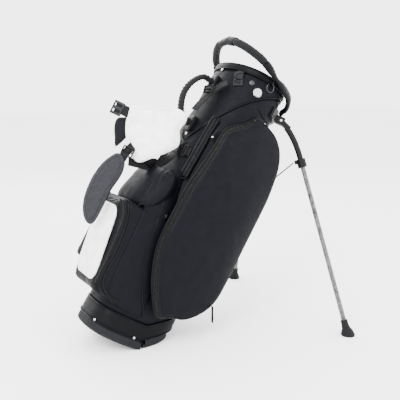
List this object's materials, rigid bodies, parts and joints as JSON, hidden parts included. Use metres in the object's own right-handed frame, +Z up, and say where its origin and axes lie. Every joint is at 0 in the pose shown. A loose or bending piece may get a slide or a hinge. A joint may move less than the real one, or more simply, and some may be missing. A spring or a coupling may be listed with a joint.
{
  "type": "golf stand bag",
  "caption": "Standing golf bag in dark leather look with fold-out legs, shoulder strap, zip pockets, divided mouth and hinged boot",
  "frame": {"origin": "middle of the ground facet under the boot heel, on the floor", "axes": "+Z up; +X from the spine towards the legs, the way the tube leans; +Y to the far side of the view, so the near leg is at -Y"},
  "size_m": [0.7383, 0.6554, 0.8723],
  "materials": {
    "pu_leather": "grained, semi-matt",
    "trim_leather": "smooth band",
    "padded_fabric": "knit",
    "white_leather": "fine grain",
    "grey_pad": "fine grain",
    "moulded_plastic": "satin",
    "gloss_plastic": "gloss",
    "ribbed_rubber": "ribbed",
    "boot_rubber": "matt",
    "steel": "satin",
    "patterned_tube": "printed carbon look",
    "mesh": "mesh"
  },
  "bodies": {
    "root": {"apparel_pocket_far": "pu_leather", "apparel_pocket_near": "pu_leather", "ball_pocket": "pu_leather", "ball_pocket_front": "white_leather", "base_cuff": "trim_leather", "body_tube": "pu_leather", "boot_heel": "boot_rubber", "collar": "pu_leather", "collar_buckle": "moulded_plastic", "far_stay": "moulded_plastic", "front_divider": "padded_fabric", "grab_anchor_bottom": "moulded_plastic", "grab_anchor_top": "moulded_plastic", "grab_handle": "ribbed_rubber", "inner_floor": "boot_rubber", "ladder_lock": "moulded_plastic", "leg_bracket": "moulded_plastic", "leg_pivot_pin_far": "steel", "leg_pivot_pin_near": "steel", "lift_grip_far": "padded_fabric", "lift_grip_near": "padded_fabric", "lift_handle_arm_far": "trim_leather", "lift_handle_arm_near": "trim_leather", "lift_handle_crown": "gloss_plastic", "medallion": "steel", "mesh_pocket": "mesh", "near_stay": "moulded_plastic", "rear_divider": "padded_fabric", "rim_band": "trim_leather", "rod_guide": "moulded_plastic", "shoulder_pad": "grey_pad", "slide_buckle": "moulded_plastic", "spine_stay": "moulded_plastic", "strap_webbing_lower": "trim_leather", "strap_webbing_upper": "trim_leather", "strap_yoke_lining": "padded_fabric", "strap_yoke_pad": "white_leather", "toe_hinge_pin": "steel", "top_divider": "padded_fabric", "towel_ring_loop": "moulded_plastic", "upper_pocket": "pu_leather", "valuables_pocket": "pu_leather", "yoke_buckle": "moulded_plastic"},
    "leg_near": {"leg_sleeve_near": "moulded_plastic", "leg_tube_near": "patterned_tube", "foot_near": "boot_rubber", "strut_clamp_near": "moulded_plastic"},
    "leg_far": {"leg_sleeve_far": "moulded_plastic", "leg_tube_far": "patterned_tube", "foot_far": "boot_rubber", "strut_clamp_far": "moulded_plastic"},
    "toe": {"boot_toe": "boot_rubber"},
    "slider": {"actuator_slider": "moulded_plastic", "push_rod": "steel"},
    "strut_near_body": {"strut_near": "steel"},
    "strut_far_body": {"strut_far": "steel"},
    "towel_ring_body": {"towel_ring": "steel"},
    "apparel_pull": {"apparel_zip_pull": "trim_leather"},
    "ball_pull": {"ball_zip_pull": "trim_leather"},
    "valuables_slider": {"valuables_zip_slider": "steel"}
  },
  "joints": [
    {"name": "leg_near_fold", "type": "hinge", "parent": "root", "child": "leg_near", "pos_m": [0.48441, -0.09, 0.62567], "axis": [0.4787, 0.843, -0.2454], "range_deg": [0, 42.5]},
    {"name": "leg_far_fold", "type": "hinge", "parent": "root", "child": "leg_far", "pos_m": [0.48441, 0.09, 0.62567], "axis": [-0.4787, 0.843, 0.2454], "range_deg": [0, 42.5]},
    {"name": "toe_fold", "type": "hinge", "parent": "root", "child": "toe", "pos_m": [0.0135, 0, 0.0095], "axis": [0, 1, 0], "range_deg": [0, 30.5]},
    {"name": "slider_travel", "type": "slide", "parent": "root", "child": "slider", "axis": [-0.5075, 0, -0.8616], "range_m": [0, 0.0625]},
    {"name": "strut_near_turn", "type": "hinge", "parent": "slider", "child": "strut_near_body", "pos_m": [0.31706, -0.012, 0.31201], "axis": [-0.5728, -0.8029, 0.1651], "range_deg": [0, 18]},
    {"name": "strut_far_turn", "type": "hinge", "parent": "slider", "child": "strut_far_body", "pos_m": [0.31706, 0.012, 0.31201], "axis": [0.5728, -0.8029, -0.1651], "range_deg": [0, 18]},
    {"name": "towel_ring_swing", "type": "hinge", "parent": "root", "child": "towel_ring_body", "pos_m": [0.40959, -0.135, 0.73706], "axis": [-1, 0, 0], "range_deg": [0, 110]},
    {"name": "apparel_pull_swing", "type": "hinge", "parent": "root", "child": "apparel_pull", "pos_m": [0.21097, -0.15, 0.10432], "axis": [0, -1, 0], "range_deg": [-20, 60]},
    {"name": "ball_pull_lift", "type": "hinge", "parent": "root", "child": "ball_pull", "pos_m": [-0.03758, -0.052, 0.42713], "axis": [0, 1, 0], "range_deg": [0, 100]},
    {"name": "valuables_zip_travel", "type": "slide", "parent": "root", "child": "valuables_slider", "axis": [-0.6366, 0.1176, -0.7622], "range_m": [0, 0.1021]}
  ],
  "couplings": [
    {"joint": "leg_far_fold", "follows": "leg_near_fold", "ratio": 1},
    {"joint": "toe_fold", "follows": "leg_near_fold", "ratio": 0.71765},
    {"joint": "slider_travel", "follows": "leg_near_fold", "m_per_rad": 0.08426},
    {"joint": "strut_near_turn", "follows": "leg_near_fold", "ratio": 0.4222},
    {"joint": "strut_far_turn", "follows": "leg_near_fold", "ratio": 0.4222}
  ]
}
